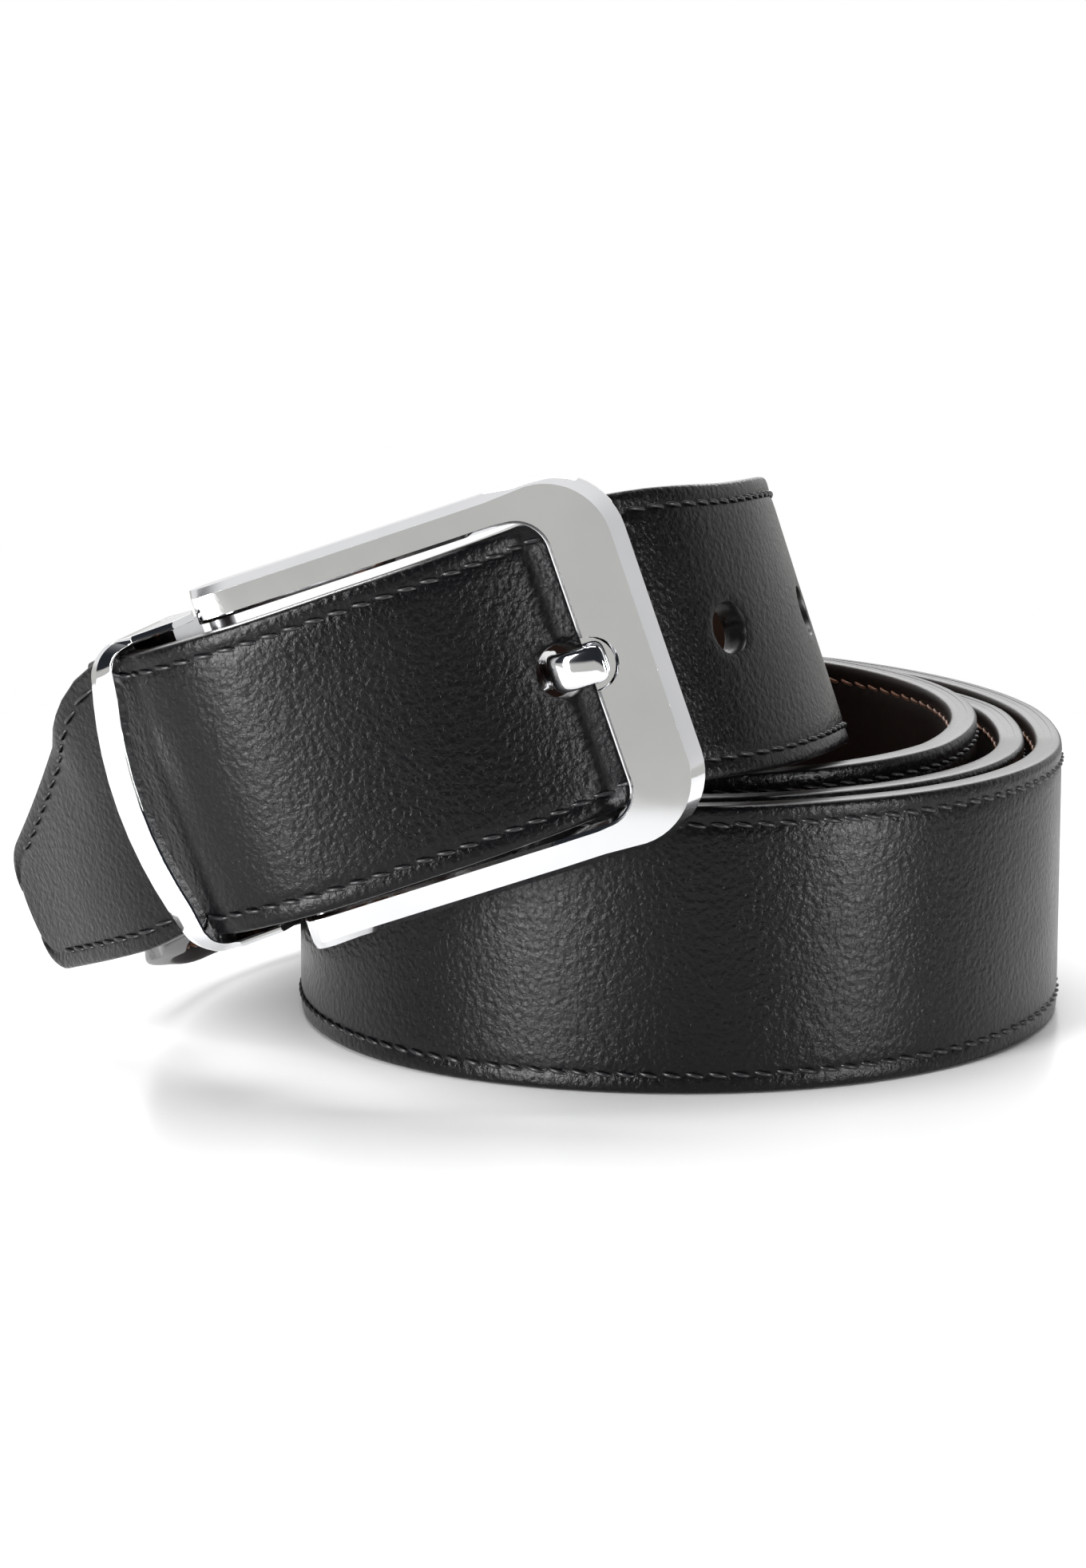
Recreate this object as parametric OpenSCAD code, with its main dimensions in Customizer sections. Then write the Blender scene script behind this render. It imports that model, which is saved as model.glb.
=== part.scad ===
// Reversible leather dress belt, buckled and coiled standing on its edge.
// Millimetres, +Z up. The origin is on the floor, under the middle of the whole belt.
// The route is laid out round the middle of the coil, and stand() then moves it all there.
// The strap runs clockwise seen from above: clamp, outer turn, middle turn, inner turn,
// raised loop, buckle window, keeper, tip.

/* [Strap] */
// Width of the strap
strap_w = 35; // [30:0.5:38]
// Thickness of the black face leather
face_t = 1.3; // [1:0.1:1.6]
// Thickness of the stiffening core
core_t = 0.9; // [0.6:0.1:1.2]
// Thickness of the brown lining leather
lining_t = 1.3; // [1:0.1:1.6]
// How far the core and lining stop short of the edge
edge_inset = 0.3; // [0.2:0.1:0.6]
// Width of the blunt end of the tip
tip_w = 16; // [12:1:20]
// Length of the taper at the tip
taper_l = 38; // [30:1:46]

/* [Holes] */
// Gap round the prong in its hole
hole_gap = 0.8; // [0.6:0.05:1.2]
// Distance between the punched holes
hole_pitch = 25; // [22:1:28]
// Number of punched holes behind the one in use
spare_holes = 4; // [2:1:4]

/* [Stitching] */
// Distance from the strap's edge to the row of stitches
stitch_in = 2.3; // [1.8:0.1:3]
// Thickness of the thread
thread_d = 0.5; // [0.3:0.1:0.6]

/* [Coil] */
// Half the outer turn's width, to the middle of the strap
coil_r = 49; // [46:0.5:54]
// Depth of the coil compared with its width
coil_k = 1.1; // [1.05:0.01:1.12]
// Spacing of the outer and middle turns
pitch_outer = 4.8; // [4.5:0.1:5.2]
// Spacing of the middle and inner turns
pitch_inner = 6.2; // [5.6:0.1:7]

/* [Buckle] */
// Slope of the buckled stretch, down towards the tip
slope = 19; // [16:1:21]
// Width of the front bar
bar_w = 9; // [7:0.5:10]
// Thickness of the front bar
bar_t = 3.2; // [2.6:0.1:3.6]
// Distance from the heel pin to the front bar's inner edge
reach = 39.2; // [38.6:0.1:40]
// Height of each side arm
arm_h = 4.0; // [2.8:0.1:4]
// Gap between the strap's edge and the metal round it
side_gap = 0.8; // [0.7:0.1:1.2]
// Radius of the heel pin
pin_r = 1.5; // [1.3:0.1:1.7]
// Width of the prong
prong_w = 4.6; // [4:0.1:4.8]
// Thickness of the prong
prong_t = 2.2; // [1.8:0.1:2.3]
// Radial clearance of pins in their bores
run_gap = 0.04; // [0.02:0.01:0.08]

/* [Clamp] */
// Turn of the clamp and keeper back from the frame, about the heel pin
clamp_turn = 28; // [26:1:30]
// Thickness of the clamp's and keeper's sheet metal
sheet_t = 0.9; // [0.8:0.1:1]
// Width of the keeper's front bar
keeper_w = 3.4; // [2.6:0.1:4]
// Radius of the swivel stud
stud_r = 1.2; // [1:0.1:1.4]
// Radius of the clamp screws
screw_r = 1.2; // [1:0.1:1.4]

/* [Hidden] */

$fn = 48;
strap_t = face_t + core_t + lining_t;
mid = strap_w / 2;
lean_coil = 0;            // the standing turns are upright, so the lower edge lies flat
buckle_yaw = -4;          // the buckle's left end sits a little further back
hole_d = prong_w + 2 * hole_gap;
front = coil_r * coil_k;  // how far the outer turn's front lies from the coil's middle
pin_at = [0.5 - coil_r, -front - 3.9, mid + 23.1];
glue = 0.03;              // glue line between the layers
proud = 0.12;             // the threads lie this far off the leather
steps = 8;                // rings of points between two stations
ring_step = 6;            // degrees between the coil's rings of points
ring_start = -30;         // clockwise from the back
ring_end = 930;

// ---- the strap's route -------------------------------------------------------------

function unit(a) = [cos(a), sin(a)];
// the coil is a little squarer at its left front than a round one
function bulge(p) = 2 * exp(-pow(((p + 720) % 360 - 228) / 32, 2));
function ring_r(p) = coil_r + bulge(p) - pitch_outer * min(p - 90, 360) / 360
  - pitch_inner * max(p - 450, 0) / 360;
function ring_xy(p) = [ring_r(p) * sin(p), ring_r(p) * cos(p) * coil_k];
function ring_head(p) = let (d = ring_xy(p + 0.5) - ring_xy(p - 0.5)) atan2(d.y, d.x);
// the turns ride up a little behind, and the inner one most
function ring_lift(p) = lookup(p, [
  [-30, 4.4], [30, 2.6], [75, 1.2], [95, 0], [330, 0], [390, 1.6], [435, 1.2], [455, 0],
  [600, 0], [680, 4], [740, 4.8], [790, 3.6], [840, 2], [900, 1.6], [930, 2]
]);
function ring_station(p) = concat(ring_xy(p), [ring_head(p), mid + ring_lift(p), lean_coil]);

// the buckle's own directions: along it towards the front bar, back from it, and across
buckle_x = [cos(slope) * cos(buckle_yaw), cos(slope) * sin(buckle_yaw), sin(slope)];
buckle_y = [-sin(buckle_yaw), cos(buckle_yaw), 0];
buckle_z = cross(buckle_x, buckle_y);
// the clamp's, turned back about the heel pin
clamp_x = cos(clamp_turn) * buckle_x - sin(clamp_turn) * buckle_y;
clamp_y = sin(clamp_turn) * buckle_x + cos(clamp_turn) * buckle_y;
stud_y = 4.4;             // the strap's middle and the stud lie this far behind the pin
// lean that keeps the strap's width along buckle_z when it travels along t; travelling
// nearly along the buckle any lean does
function lean_for(t) = let (u = buckle_z - buckle_z.y / t.y * t) atan2(-u.x, u.z);
function square_station(p, turn) = let (t = sin(turn) * buckle_y - cos(turn) * buckle_x)
  [p.x, p.y, atan2(t.y, t.x), p.z, abs(turn) < 15 ? slope : lean_for(t)];
// stations squared to the metalwork, in the buckle's and in the clamp's directions; turn is
// how far the strap has turned back from straight along the buckle
function buckle_station(x, y, turn) = square_station(pin_at + x * buckle_x + y * buckle_y, turn);
function clamp_station(x, y, turn) = square_station(pin_at + x * clamp_x + y * clamp_y, clamp_turn + turn);

strap_end = -13;          // where the buckle end of the strap stops, inside the clamp
box_end = -17.4;          // the clamp's mouth

// stations: x, y, heading, height of the strap's middle, lean of its top to the left
route_in = [
  clamp_station(strap_end, stud_y, 0),
  clamp_station(box_end - 2, stud_y, 0),
  [-coil_r - 17.5, 26.9 - front, 103, mid + 11, 8],
  [-coil_r - 14.5, -3, 76, mid + 5.4, 3],
  ring_station(ring_start)
];
route_out = [
  ring_station(ring_end),
  [14 - coil_r, -8, 97, mid + 4, 4],
  [-8, 24, 0, mid + 19.5, 14],
  [pin_at.x + 63.3, -14, -90, mid + 34.7, 18],
  [pin_at.x + 52.8, pin_at.y + 12.3, -128, mid + 37.3, 19],
  buckle_station(43.2, 4.4, -38),
  buckle_station(35.2, -0.35, -29),
  buckle_station(16, -5.7, -4),
  buckle_station(1, -5.3, 9),
  clamp_station(-9, -4.6, 14),
  clamp_station(-17, -1.95, 16),
  [pin_at.x - 20.5, pin_at.y + 14.8, -236, mid + 11.1, 12],
  [pin_at.x - 31.5, pin_at.y + 33.3, -238, mid - 1.3, 10]
];
hole_station = 6;         // the station of the hole in use

function bezier(p, t) = p[0] * pow(1 - t, 3) + 3 * p[1] * t * pow(1 - t, 2)
  + 3 * p[2] * t * t * (1 - t) + p[3] * pow(t, 3);
function turn_of(a, b) = abs((b[2] - a[2] + 540) % 360 - 180);
function gap_of(a, b) = norm([b.x - a.x, b.y - a.y]);
function handle(a, b) = gap_of(a, b) / 3 / pow(cos(turn_of(a, b) / 4), 2);
function plan_curve(a, b, t) = let (k = handle(a, b), pa = [a.x, a.y], pb = [b.x, b.y])
  bezier([pa, pa + k * unit(a[2]), pb - k * unit(b[2]), pb], t);
// rate of change of value c at station i, from its neighbours
function rate(st, i, c) = let (a = st[max(i - 1, 0)], m = st[i], b = st[min(i + 1, len(st) - 1)])
  (b[c] - a[c]) / max(gap_of(a, m) + gap_of(m, b), 1);
function blend_of(st, i, c, t) = let (d = gap_of(st[i], st[i + 1]), a = st[i][c], b = st[i + 1][c],
    ra = rate(st, i, c) * d, rb = rate(st, i + 1, c) * d)
  a * (1 + 2 * t) * pow(1 - t, 2) + ra * t * pow(1 - t, 2) + b * t * t * (3 - 2 * t) + rb * t * t * (t - 1);
function stretch(st) = [for (i = [0:len(st) - 2], k = [0:steps - 1]) let (t = k / steps)
  concat(plan_curve(st[i], st[i + 1], t), [blend_of(st, i, 3, t), blend_of(st, i, 4, t)])];
function last_of(st) = let (s = st[len(st) - 1]) [[s.x, s.y, s[3], s[4]]];

ring_points = [for (p = [ring_start:ring_step:ring_end - 1])
  concat(ring_xy(p), [mid + ring_lift(p), lean_coil])];
line_points = concat(stretch(route_in), ring_points, stretch(route_out), last_of(route_out));
count = len(line_points);
function at(i) = let (q = line_points[i]) [q.x, q.y, q.z];
function tangent(i) = let (v = at(min(i + 1, count - 1)) - at(max(i - 1, 0))) v / norm(v);
// across the strap: the leaning upright, squared to the direction of travel
function across(i) = let (l = line_points[i][3], u = [-sin(l), 0, cos(l)], v = u - (u * tangent(i)) * tangent(i))
  v / norm(v);
function outward(i) = cross(across(i), tangent(i));

far = [for (i = 0, s = 0; i < count; s = s + (i + 1 < count ? norm(at(i + 1) - at(i)) : 0), i = i + 1) s];
strap_l = far[count - 1];
// half the strap's width at point i: full, then tapering to the blunt tip
function half_w(i) = min(mid, tip_w / 2 + (strap_l - far[i]) * (mid - tip_w / 2) / taper_l);

// ---- solids along the route --------------------------------------------------------

function ring_at(i, w0, w1, n0, n1) = let (c = at(i), w = across(i), n = outward(i))
  [c + w0 * w + n0 * n, c + w0 * w + n1 * n, c + w1 * w + n1 * n, c + w1 * w + n0 * n];

skin = [for (i = [0:count - 1], p = ring_at(i, -half_w(i), half_w(i), -strap_t / 2, strap_t / 2)) p];
xs = [for (p = skin) p.x];
ys = [for (p = skin) p.y];
module stand() {
  translate([-(min(xs) + max(xs)) / 2, -(min(ys) + max(ys)) / 2, 0]) children();
}

// side: 0 spans the whole width less inset, 1 or -1 is a narrow row beside that edge
module ribbon(side, inset, width, n0, n1, first = 0) {
  rings = [for (i = [first:count - 1]) let (h = half_w(i) - inset)
    side == 0 ? ring_at(i, -h, h, n0, n1)
      : side > 0 ? ring_at(i, h - width, h, n0, n1) : ring_at(i, -h, width - h, n0, n1)];
  points = [for (r = rings, p = r) p];
  // both broad faces are split along the same diagonal, so that layers meet face to face
  sides = [for (i = [0:count - first - 2], k = [0:3]) let (a = 4 * i + k, b = 4 * i + (k + 1) % 4)
    each k == 3 ? [[a, a + 4, b], [b, a + 4, b + 4]] : [[a, b + 4, b], [a, a + 4, b + 4]]];
  top = 4 * (count - first - 1);
  polyhedron(points, concat(sides, [[0, 1, 2, 3], [top + 3, top + 2, top + 1, top]]));
}

// the place along the strap, and the frame there, of a point s millimetres from its start
function index_at(s) = len([for (v = far) if (v < s) v]) - 1;
module on_strap(s) {
  i = index_at(s);
  c = at(i) + (s - far[i]) * tangent(i);
  t = tangent(i);
  w = across(i);
  n = outward(i);
  multmatrix([[w.x, t.x, n.x, c.x], [w.y, t.y, n.y, c.y], [w.z, t.z, n.z, c.z], [0, 0, 0, 1]]) children();
}

first_hole = far[len(stretch(route_in)) + len(ring_points) + hole_station * steps];
module hole_cuts() {
  for (k = [0:spare_holes])
    on_strap(first_hole - k * hole_pitch) cylinder(d = hole_d, h = 3 * strap_t, center = true);
}

// ---- placing the metalwork ---------------------------------------------------------

// x along the buckle towards its front bar, y back from it, z across the strap
module at_buckle() {
  translate(pin_at) rotate([0, 0, buckle_yaw]) rotate([0, -slope, 0]) children();
}
module at_clamp() {
  at_buckle() rotate([0, 0, -clamp_turn]) children();
}
module along_y(y0, y1, r) {
  translate([0, y0, 0]) rotate([-90, 0, 0]) cylinder(r = r, h = y1 - y0);
}
module along_x(x0, x1, r) {
  translate([x0, 0, 0]) rotate([0, 90, 0]) cylinder(r = r, h = x1 - x0);
}
module block(lo, hi) {
  translate(lo) cube(hi - lo);
}

knuckle_r = 2.6;          // eyes round the heel pin
inner_h = mid + side_gap; // half height inside the frame
outer_h = inner_h + arm_h;
bar_back = -1.4;          // the front bar's back face, just in front of the strap
bar_front = bar_back - bar_t;
corner_r = 4;             // inner corners of the window
corner_cut = 7;           // bevelled outer corners
screw_z = 9;              // the clamp screws' distance from the middle
screw_x = -15;
front_y = stud_y - strap_t / 2 - 0.1 - sheet_t;  // outer face of the clamp's front wall
plate_y = stud_y + strap_t / 2 + 0.1;            // the clamp plate's gripping face
wall_h = mid + 0.15;      // inside half height of the clamp
rail_h = wall_h + sheet_t + 0.02;                // the keeper's rails lie outside the clamp
end_wall = -8.8;          // the clamp's end wall, towards the heel pin
yoke_face = end_wall + 0.6;

// ---- sub-parts ---------------------------------------------------------------------

module face_leather() {
  color("#141416") difference() {
    ribbon(0, 0, 0, strap_t / 2 - face_t, strap_t / 2);
    hole_cuts();
    at_clamp() screw_holes();
  }
}

module strap_core() {
  color("#2a2623") difference() {
    ribbon(0, edge_inset, 0, lining_t - strap_t / 2 + glue, strap_t / 2 - face_t - glue);
    hole_cuts();
    at_clamp() screw_holes();
  }
}

module lining_leather() {
  color("#3a241a") difference() {
    ribbon(0, edge_inset, 0, -strap_t / 2, lining_t - strap_t / 2);
    hole_cuts();
    at_clamp() screw_holes();
  }
}

module screw_holes() {
  for (s = [-1, 1]) translate([screw_x, 0, s * screw_z]) along_y(front_y, 3 * strap_t, screw_r + run_gap);
}

module face_stitching() {
  color("#0a0a0b") for (s = [-1, 1])
    ribbon(s, stitch_in - thread_d / 2, thread_d, strap_t / 2 + proud, strap_t / 2 + proud + thread_d / 2, steps + 1);
}

module lining_stitching() {
  color("#6b4128") for (s = [-1, 1])
    ribbon(s, stitch_in - thread_d / 2, thread_d, -strap_t / 2 - proud - thread_d / 2, -strap_t / 2 - proud, steps + 1);
}

module frame_outline() {
  difference() {
    polygon([
      [-knuckle_r, outer_h], [reach + bar_w - corner_cut, outer_h], [reach + bar_w, outer_h - corner_cut],
      [reach + bar_w, corner_cut - outer_h], [reach + bar_w - corner_cut, -outer_h], [-knuckle_r, -outer_h]
    ]);
    difference() {
      translate([-2 * knuckle_r, -inner_h]) square([reach + 2 * knuckle_r, 2 * inner_h]);
      for (s = [-1, 1]) translate([reach - corner_r, s * (inner_h - corner_r)]) difference() {
        translate([0, s > 0 ? 0 : -corner_r]) square(corner_r);
        circle(r = corner_r);
      }
    }
  }
}

module frame_profile() {
  polygon([
    [0, -knuckle_r], [reach - 10, bar_front], [reach + bar_w, bar_front], [reach + bar_w, bar_back],
    [reach, bar_back], [10, 1], [0, knuckle_r]
  ]);
  circle(r = knuckle_r);
}

module buckle_frame() {
  color("#c9ccd2") at_buckle() difference() {
    intersection() {
      rotate([90, 0, 0]) translate([0, 0, -10]) linear_extrude(20) frame_outline();
      translate([0, 0, -outer_h]) linear_extrude(2 * outer_h) frame_profile();
    }
    translate([0, 0, -outer_h - 1]) cylinder(r = pin_r + run_gap, h = 2 * outer_h + 2);
    // half-round notch that the prong's tip lies in
    translate([reach - 1, 0, 0]) along_y(bar_front - 1, bar_front + notch_deep, notch_r);
  }
}

notch_r = prong_w / 2 + 2;
notch_deep = 1;
crank_x = 33.4;           // where the prong turns out through the hole
shank_y = 3.4;            // depth of the shank there, behind the strap
tip_y = bar_front + notch_deep - prong_t / 2 - 0.15;
tip_x = reach + 1.2;
crank_out = 35.8;         // the crank's outer end
// the prong's side view: round the pin, along behind the strap, out through the hole and
// on to its tip, which is cut back at a slant
module prong_side() {
  half = prong_t / 2;
  circle(r = knuckle_r);
  polygon([
    [0, 1 - half], [crank_x + half, shank_y - half], [crank_out, tip_y - half], [tip_x, tip_y - half],
    [tip_x + half, tip_y], [tip_x + half, tip_y + half], [crank_out + half, tip_y + half],
    [crank_x + prong_t, shank_y + half], [0, 1 + half]
  ]);
}

module prong() {
  color("#d3d6dc") at_buckle() difference() {
    translate([0, 0, -prong_w / 2]) linear_extrude(prong_w) prong_side();
    translate([0, 0, -prong_w]) cylinder(r = pin_r + run_gap, h = 2 * prong_w);
  }
}

module heel_pin() {
  color("#9a9ca1") at_buckle() translate([0, 0, -outer_h]) cylinder(r = pin_r, h = 2 * outer_h);
}

yoke_h = mid - 2.9;       // half length of the yoke, clear of the frame's arms
yoke_gap = prong_w / 2 + 0.3;
module swivel_yoke() {
  color("#b4b7bd") at_clamp() difference() {
    union() {
      for (s = [-1, 1]) {
        translate([0, 0, s > 0 ? yoke_gap : -yoke_h]) cylinder(r = knuckle_r, h = yoke_h - yoke_gap);
        block([yoke_face, 0, s > 0 ? yoke_gap : -yoke_h], [0, knuckle_r, s > 0 ? yoke_h : -yoke_gap]);
      }
      block([yoke_face, front_y, -yoke_h], [-knuckle_r - 0.4, plate_y, yoke_h]);
    }
    translate([0, 0, -yoke_h - 1]) cylinder(r = pin_r + run_gap, h = 2 * yoke_h + 2);
    translate([0, stud_y, 0]) along_x(yoke_face - 1, 1, stud_r);
  }
}

head_r = strap_t / 2;     // the stud's head and washer fit inside the clamp
module swivel_stud() {
  color("#8e9095") at_clamp() translate([0, stud_y, 0]) union() {
    along_x(-11.8, -3.4, stud_r);
    along_x(-12.6, -11.8, head_r);
  }
}

module washer(x0, x1, r) {
  translate([0, stud_y, 0]) difference() {
    along_x(x0, x1, r);
    along_x(x0 - 1, x1 + 1, stud_r + run_gap);
  }
}

module spring_washer() {
  color("#7d7f84") at_clamp() washer(end_wall + 0.1, yoke_face - 0.1, stud_r + 1.4);
}

module retaining_washer() {
  color("#8e9095") at_clamp() washer(-11.75, end_wall - sheet_t - 0.05, head_r);
}

module clamp_box() {
  color("#b9bcc3") at_clamp() difference() {
    block([box_end, front_y, -wall_h - sheet_t], [end_wall, plate_y + sheet_t, wall_h + sheet_t]);
    block([box_end - 1, front_y + sheet_t, -wall_h], [end_wall - sheet_t, plate_y + 2 * sheet_t, wall_h]);
    translate([0, stud_y, 0]) along_x(end_wall - 3, end_wall + 1, stud_r + run_gap);
    for (s = [-1, 1]) translate([screw_x, 0, s * screw_z]) along_y(front_y - 1, front_y + 3, screw_r);
    translate([rivet_x, stud_y, -wall_h - 3]) cylinder(r = rivet_r, h = 2 * wall_h + 6);
  }
}

module clamp_plate() {
  color("#a9acb2") at_clamp() difference() {
    block([box_end, plate_y, -wall_h + 0.1], [strap_end + 0.6, plate_y + sheet_t, wall_h - 0.1]);
    screw_holes();
  }
}

module clamp_screws() {
  color("#8e9095") at_clamp() for (s = [-1, 1]) translate([screw_x, 0, s * screw_z]) union() {
    along_y(front_y, plate_y + sheet_t, screw_r);
    along_y(plate_y + sheet_t, plate_y + sheet_t + 1, screw_r + 1);
  }
}

rivet_r = 1;
rivet_x = -11.2;
keeper_out = -7.2;         // the keeper bar's front face
keeper_x = -18.7;          // its far edge
module keeper_loop() {
  color("#c4c7ce") at_clamp() difference() {
    union() {
      block([keeper_x, keeper_out, -rail_h - sheet_t], [keeper_x + keeper_w, keeper_out + 2.4, rail_h + sheet_t]);
      for (s = [-1, 1]) translate([0, 0, s > 0 ? rail_h : -rail_h - sheet_t]) linear_extrude(sheet_t) polygon([
        [keeper_x, keeper_out], [keeper_x + keeper_w, keeper_out], [-6, -1.6], [-6, front_y + 1],
        [end_wall, plate_y], [keeper_x + 5, plate_y], [keeper_x, -2]
      ]);
    }
    translate([rivet_x, stud_y, -rail_h - 3]) cylinder(r = rivet_r, h = 2 * rail_h + 6);
  }
}

module keeper_rivets() {
  color("#8e9095") at_clamp() for (s = [-1, 1])
    translate([rivet_x, stud_y, s > 0 ? wall_h : -rail_h - sheet_t]) cylinder(r = rivet_r, h = rail_h + sheet_t - wall_h);
}

stand() face_leather();
stand() strap_core();
stand() lining_leather();
stand() face_stitching();
stand() lining_stitching();
stand() buckle_frame();
stand() prong();
stand() heel_pin();
stand() swivel_yoke();
stand() swivel_stud();
stand() spring_washer();
stand() retaining_washer();
stand() clamp_box();
stand() clamp_plate();
stand() clamp_screws();
stand() keeper_loop();
stand() keeper_rivets();
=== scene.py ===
import math
import bmesh
import bpy
from mathutils import Matrix, Vector


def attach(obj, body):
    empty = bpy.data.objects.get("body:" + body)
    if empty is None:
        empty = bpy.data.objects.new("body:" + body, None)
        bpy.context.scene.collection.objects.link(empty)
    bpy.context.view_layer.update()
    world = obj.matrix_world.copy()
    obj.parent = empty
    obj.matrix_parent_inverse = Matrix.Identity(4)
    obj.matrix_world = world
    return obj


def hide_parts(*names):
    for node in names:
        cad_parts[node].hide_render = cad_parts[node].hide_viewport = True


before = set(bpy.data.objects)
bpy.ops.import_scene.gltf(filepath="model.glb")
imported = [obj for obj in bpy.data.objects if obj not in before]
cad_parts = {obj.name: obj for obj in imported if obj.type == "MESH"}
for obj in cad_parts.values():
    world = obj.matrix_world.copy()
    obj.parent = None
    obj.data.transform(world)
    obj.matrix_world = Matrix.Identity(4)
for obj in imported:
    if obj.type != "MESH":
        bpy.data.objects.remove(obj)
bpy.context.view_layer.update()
mm = 0.001
print("frame loaded")


def srgb(hexCode):
    parts = [int(hexCode[i:i + 2], 16) / 255 for i in (1, 3, 5)]
    return [c / 12.92 if c <= 0.04045 else ((c + 0.055) / 1.055) ** 2.4 for c in parts] + [1.0]


def addNode(tree, kind, inputs=None, links=None, **settings):
    node = tree.nodes.new(kind)
    for key, value in settings.items():
        setattr(node, key, value)
    for key, value in (inputs or {}).items():
        node.inputs[key].default_value = value
    for key, source in (links or {}).items():
        tree.links.new(source, node.inputs[key])
    return node


def startMaterial(name):
    mat = bpy.data.materials.new(name)
    mat.use_nodes = True
    tree = mat.node_tree
    shader = tree.nodes["Principled BSDF"]
    place = addNode(tree, "ShaderNodeTexCoord")
    return mat, tree, shader, place.outputs["Object"]


# pattern scales are 1 / size in metres, so each look gives its sizes in millimetres
def boxCalf(name, look):
    # chrome-tanned calf, glazed and lightly boarded: deep colour, soft broad gloss, fine creased grain
    mat, tree, shader, place = startMaterial(name)
    pebble = addNode(tree, "ShaderNodeTexVoronoi", {"Scale": 1 / (look["grain"] * mm), "Randomness": 1.0},
                     {"Vector": place}, feature="SMOOTH_F1")
    crease = addNode(tree, "ShaderNodeTexNoise", {"Scale": 1 / (look["crease"] * mm), "Detail": 3.0,
                     "Roughness": 0.55, "Distortion": 0.7}, {"Vector": place})
    cloud = addNode(tree, "ShaderNodeTexNoise", {"Scale": 1 / (look["cloud"] * mm), "Detail": 2.0},
                    {"Vector": place})
    height = addNode(tree, "ShaderNodeMix", {"Factor": 0.5},
                     {"A": pebble.outputs["Distance"], "B": crease.outputs["Fac"]}, data_type="FLOAT")
    bump = addNode(tree, "ShaderNodeBump", {"Strength": look["bump"], "Distance": look["depth"] * mm},
                   {"Height": height.outputs["Result"]})
    gloss = addNode(tree, "ShaderNodeMapRange", {"From Min": 0.3, "From Max": 0.7,
                    "To Min": look["roughLow"], "To Max": look["roughHigh"]},
                    {"Value": cloud.outputs["Fac"]})
    tint = addNode(tree, "ShaderNodeMix", {"A": srgb(look["deep"]), "B": srgb(look["pale"])},
                   {"Factor": crease.outputs["Fac"]}, data_type="RGBA")
    tree.links.new(tint.outputs[2], shader.inputs["Base Color"])
    tree.links.new(gloss.outputs["Result"], shader.inputs["Roughness"])
    tree.links.new(bump.outputs["Normal"], shader.inputs["Normal"])
    shader.inputs["IOR"].default_value = 1.5
    shader.inputs["Specular IOR Level"].default_value = look["shine"]
    shader.inputs["Coat Weight"].default_value = look["coat"]
    shader.inputs["Coat Roughness"].default_value = look["coatRough"]
    return mat


def edgePaint(name, colour, pale):
    # brushed-on acrylic edge paint: closes the layers into one dark, half-glossy edge with small ripples
    mat, tree, shader, place = startMaterial(name)
    ripple = addNode(tree, "ShaderNodeTexNoise", {"Scale": 1 / (0.8 * mm), "Detail": 3.0}, {"Vector": place})
    bump = addNode(tree, "ShaderNodeBump", {"Strength": 0.35, "Distance": 0.08 * mm},
                   {"Height": ripple.outputs["Fac"]})
    tint = addNode(tree, "ShaderNodeMix", {"A": srgb(colour), "B": srgb(pale)},
                   {"Factor": ripple.outputs["Fac"]}, data_type="RGBA")
    tree.links.new(tint.outputs[2], shader.inputs["Base Color"])
    tree.links.new(bump.outputs["Normal"], shader.inputs["Normal"])
    shader.inputs["Roughness"].default_value = 0.36
    return mat


def waxedThread(name, deep, pale):
    # bonded polyester sewing thread, waxed: plies show as fine slanting light and dark
    mat, tree, shader, place = startMaterial(name)
    plies = addNode(tree, "ShaderNodeTexNoise", {"Scale": 1 / (0.3 * mm), "Detail": 2.0}, {"Vector": place})
    tint = addNode(tree, "ShaderNodeMix", {"A": srgb(deep), "B": srgb(pale)},
                   {"Factor": plies.outputs["Fac"]}, data_type="RGBA")
    bump = addNode(tree, "ShaderNodeBump", {"Strength": 0.6, "Distance": 0.06 * mm},
                   {"Height": plies.outputs["Fac"]})
    tree.links.new(tint.outputs[2], shader.inputs["Base Color"])
    tree.links.new(bump.outputs["Normal"], shader.inputs["Normal"])
    shader.inputs["Roughness"].default_value = 0.4
    return mat


def brightMetal(name, look):
    # a mirror, more or less dulled by the marks of polishing, rolling or turning
    mat, tree, shader, place = startMaterial(name)
    smear = addNode(tree, "ShaderNodeTexNoise", {"Scale": 1 / (look["smear"] * mm), "Detail": 4.0},
                    {"Vector": place})
    gloss = addNode(tree, "ShaderNodeMapRange", {"From Min": 0.3, "From Max": 0.75,
                    "To Min": look["roughLow"], "To Max": look["roughHigh"]},
                    {"Value": smear.outputs["Fac"]})
    tint = addNode(tree, "ShaderNodeMix", {"A": srgb(look["deep"]), "B": srgb(look["pale"])},
                   {"Factor": smear.outputs["Fac"]}, data_type="RGBA")
    peel = addNode(tree, "ShaderNodeTexNoise", {"Scale": 1 / (look["wave"] * mm), "Detail": 1.0},
                     {"Vector": place})
    bump = addNode(tree, "ShaderNodeBump", {"Strength": look["bump"], "Distance": 0.05 * mm},
                   {"Height": peel.outputs["Fac"]})
    tree.links.new(tint.outputs[2], shader.inputs["Base Color"])
    tree.links.new(gloss.outputs["Result"], shader.inputs["Roughness"])
    tree.links.new(bump.outputs["Normal"], shader.inputs["Normal"])
    shader.inputs["Metallic"].default_value = 1.0
    return mat


blackCalf = boxCalf("glazedBlackCalf", {
    "grain": 0.75, "crease": 0.5, "cloud": 16.0, "bump": 1.0, "depth": 0.18,
    "deep": "#040405", "pale": "#08080a", "roughLow": 0.25, "roughHigh": 0.33, "shine": 0.2,
    "coat": 0.02, "coatRough": 0.2})
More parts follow.
